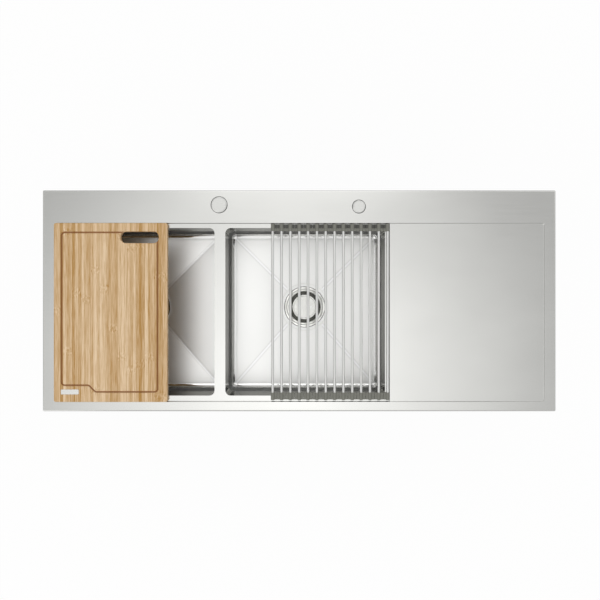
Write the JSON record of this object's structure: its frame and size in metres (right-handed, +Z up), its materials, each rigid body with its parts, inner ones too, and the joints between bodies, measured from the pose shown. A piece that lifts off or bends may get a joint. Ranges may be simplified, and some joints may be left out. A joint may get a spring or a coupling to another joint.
{
  "type": "inset kitchen sink",
  "caption": "Inset steel kitchen sink: square bowls with basket strainers, drainboard, sliding bamboo cutting board and a roll-up drying rack.",
  "frame": {"origin": "middle of the sink in plan, on the worktop's surface where the rim's lip rests", "axes": "+X to the drainboard, +Y to the tap ledge at the rear, +Z up out of the bowls"},
  "size_m": [1.16, 0.5, 0.43],
  "materials": {
    "deck_steel": "fine brushed stainless steel",
    "bowl_steel": "satin stainless steel",
    "strainer_steel": "polished stainless steel",
    "cover_steel": "fine brushed stainless steel",
    "rod_steel": "satin stainless tube",
    "plate_steel": "bare satin steel",
    "zinc_steel": "zinc-plated steel",
    "screw_steel": "zinc-plated steel",
    "bamboo": "oiled bamboo strips",
    "link_silicone": "matt grey silicone",
    "foam": "closed-cell foam",
    "pad_rubber": "sound-deadening pad",
    "black_rubber": "black rubber",
    "fibre_ring": "fibre ring",
    "waste_plastic": "white polypropylene"
  },
  "bodies": {
    "sink": {"deck": "deck_steel", "rim_seal": "foam", "clip_rails": "zinc_steel", "mounting_clips": "zinc_steel", "clip_screws": "screw_steel", "drainboard_stiffeners": "zinc_steel", "sound_pads": "pad_rubber", "left_bowl": "bowl_steel", "right_bowl": "bowl_steel", "left_strainer": "strainer_steel", "right_strainer": "strainer_steel", "left_tailpiece": "waste_plastic", "right_tailpiece": "waste_plastic", "flange_seals": "black_rubber", "drain_gaskets": "black_rubber", "friction_rings": "fibre_ring", "lock_nuts": "waste_plastic", "tailpiece_washers": "black_rubber", "coupling_nuts": "waste_plastic"},
    "board": {"cutting_board": "bamboo", "board_plate": "plate_steel"},
    "rack_01": {"rack_rod_01": "rod_steel", "rack_link_01": "link_silicone"},
    "rack_02": {"rack_rod_02": "rod_steel", "rack_link_02": "link_silicone"},
    "rack_03": {"rack_rod_03": "rod_steel", "rack_link_03": "link_silicone"},
    "rack_04": {"rack_rod_04": "rod_steel", "rack_link_04": "link_silicone"},
    "rack_05": {"rack_rod_05": "rod_steel", "rack_link_05": "link_silicone"},
    "rack_06": {"rack_rod_06": "rod_steel", "rack_link_06": "link_silicone"},
    "rack_07": {"rack_rod_07": "rod_steel", "rack_link_07": "link_silicone"},
    "rack_08": {"rack_rod_08": "rod_steel", "rack_link_08": "link_silicone"},
    "rack_09": {"rack_rod_09": "rod_steel", "rack_link_09": "link_silicone"},
    "rack_10": {"rack_rod_10": "rod_steel", "rack_link_10": "link_silicone"},
    "rack_11": {"rack_rod_11": "rod_steel", "rack_link_11": "link_silicone"},
    "rack_12": {"rack_rod_12": "rod_steel", "rack_link_12": "link_silicone"},
    "rack_13": {"rack_rod_13": "rod_steel", "rack_link_13": "link_silicone"},
    "rack_14": {"rack_rod_14": "rod_steel", "rack_link_14": "link_silicone"},
    "left_basket": {"left_basket": "strainer_steel", "left_basket_seal": "black_rubber", "left_basket_cap": "strainer_steel"},
    "right_basket": {"right_basket": "strainer_steel", "right_basket_seal": "black_rubber", "right_basket_cap": "strainer_steel"},
    "tap_cover": {"tap_hole_cover": "cover_steel", "tap_cover_foam": "foam"},
    "dispenser_cover": {"dispenser_hole_cover": "cover_steel", "dispenser_cover_foam": "foam"}
  },
  "joints": [
    {"name": "board_slide", "type": "slide", "parent": "sink", "child": "board", "axis": [1, 0, 0], "range_m": [0, 0.115]},
    {"name": "rack_slide", "type": "slide", "parent": "sink", "child": "rack_01", "axis": [1, 0, 0], "range_m": [-0.115, 0]},
    {"name": "rack_roll", "type": "hinge", "parent": "rack_01", "child": "rack_02", "pos_m": [0.19, 0, 0.0037], "axis": [0, 1, 0], "range_deg": [0, 25]},
    {"name": "rack_roll_02", "type": "hinge", "parent": "rack_02", "child": "rack_03", "pos_m": [0.17, 0, 0.0037], "axis": [0, 1, 0], "range_deg": [0, 25.01]},
    {"name": "rack_roll_03", "type": "hinge", "parent": "rack_03", "child": "rack_04", "pos_m": [0.15, 0, 0.0037], "axis": [0, 1, 0], "range_deg": [0, 25.01]},
    {"name": "rack_roll_04", "type": "hinge", "parent": "rack_04", "child": "rack_05", "pos_m": [0.13, 0, 0.0037], "axis": [0, 1, 0], "range_deg": [0, 25.01]},
    {"name": "rack_roll_05", "type": "hinge", "parent": "rack_05", "child": "rack_06", "pos_m": [0.11, 0, 0.0037], "axis": [0, 1, 0], "range_deg": [0, 25.01]},
    {"name": "rack_roll_06", "type": "hinge", "parent": "rack_06", "child": "rack_07", "pos_m": [0.09, 0, 0.0037], "axis": [0, 1, 0], "range_deg": [0, 25.01]},
    {"name": "rack_roll_07", "type": "hinge", "parent": "rack_07", "child": "rack_08", "pos_m": [0.07, 0, 0.0037], "axis": [0, 1, 0], "range_deg": [0, 25.01]},
    {"name": "rack_roll_08", "type": "hinge", "parent": "rack_08", "child": "rack_09", "pos_m": [0.05, 0, 0.0037], "axis": [0, 1, 0], "range_deg": [0, 25.01]},
    {"name": "rack_roll_09", "type": "hinge", "parent": "rack_09", "child": "rack_10", "pos_m": [0.03, 0, 0.0037], "axis": [0, 1, 0], "range_deg": [0, 25.01]},
    {"name": "rack_roll_10", "type": "hinge", "parent": "rack_10", "child": "rack_11", "pos_m": [0.01, 0, 0.0037], "axis": [0, 1, 0], "range_deg": [0, 25.01]},
    {"name": "rack_roll_11", "type": "hinge", "parent": "rack_11", "child": "rack_12", "pos_m": [-0.01, 0, 0.0037], "axis": [0, 1, 0], "range_deg": [0, 25.01]},
    {"name": "rack_roll_12", "type": "hinge", "parent": "rack_12", "child": "rack_13", "pos_m": [-0.03, 0, 0.0037], "axis": [0, 1, 0], "range_deg": [0, 25.01]},
    {"name": "rack_roll_13", "type": "hinge", "parent": "rack_13", "child": "rack_14", "pos_m": [-0.05, 0, 0.0037], "axis": [0, 1, 0], "range_deg": [0, 25.01]},
    {"name": "left_basket_lift", "type": "slide", "parent": "sink", "child": "left_basket", "axis": [0, 0, 1], "range_m": [0, 0.12]},
    {"name": "right_basket_lift", "type": "slide", "parent": "sink", "child": "right_basket", "axis": [0, 0, 1], "range_m": [0, 0.12]},
    {"name": "tap_cover_lift", "type": "slide", "parent": "sink", "child": "tap_cover", "axis": [0, 0, 1], "range_m": [0, 0.06]},
    {"name": "dispenser_cover_lift", "type": "slide", "parent": "sink", "child": "dispenser_cover", "axis": [0, 0, 1], "range_m": [0, 0.06]}
  ],
  "couplings": [
    {"joint": "rack_roll_02", "follows": "rack_roll", "ratio": 1},
    {"joint": "rack_roll_03", "follows": "rack_roll", "ratio": 1},
    {"joint": "rack_roll_04", "follows": "rack_roll", "ratio": 1},
    {"joint": "rack_roll_05", "follows": "rack_roll", "ratio": 1},
    {"joint": "rack_roll_06", "follows": "rack_roll", "ratio": 1},
    {"joint": "rack_roll_07", "follows": "rack_roll", "ratio": 1},
    {"joint": "rack_roll_08", "follows": "rack_roll", "ratio": 1},
    {"joint": "rack_roll_09", "follows": "rack_roll", "ratio": 1},
    {"joint": "rack_roll_10", "follows": "rack_roll", "ratio": 1},
    {"joint": "rack_roll_11", "follows": "rack_roll", "ratio": 1},
    {"joint": "rack_roll_12", "follows": "rack_roll", "ratio": 1},
    {"joint": "rack_roll_13", "follows": "rack_roll", "ratio": 1}
  ]
}
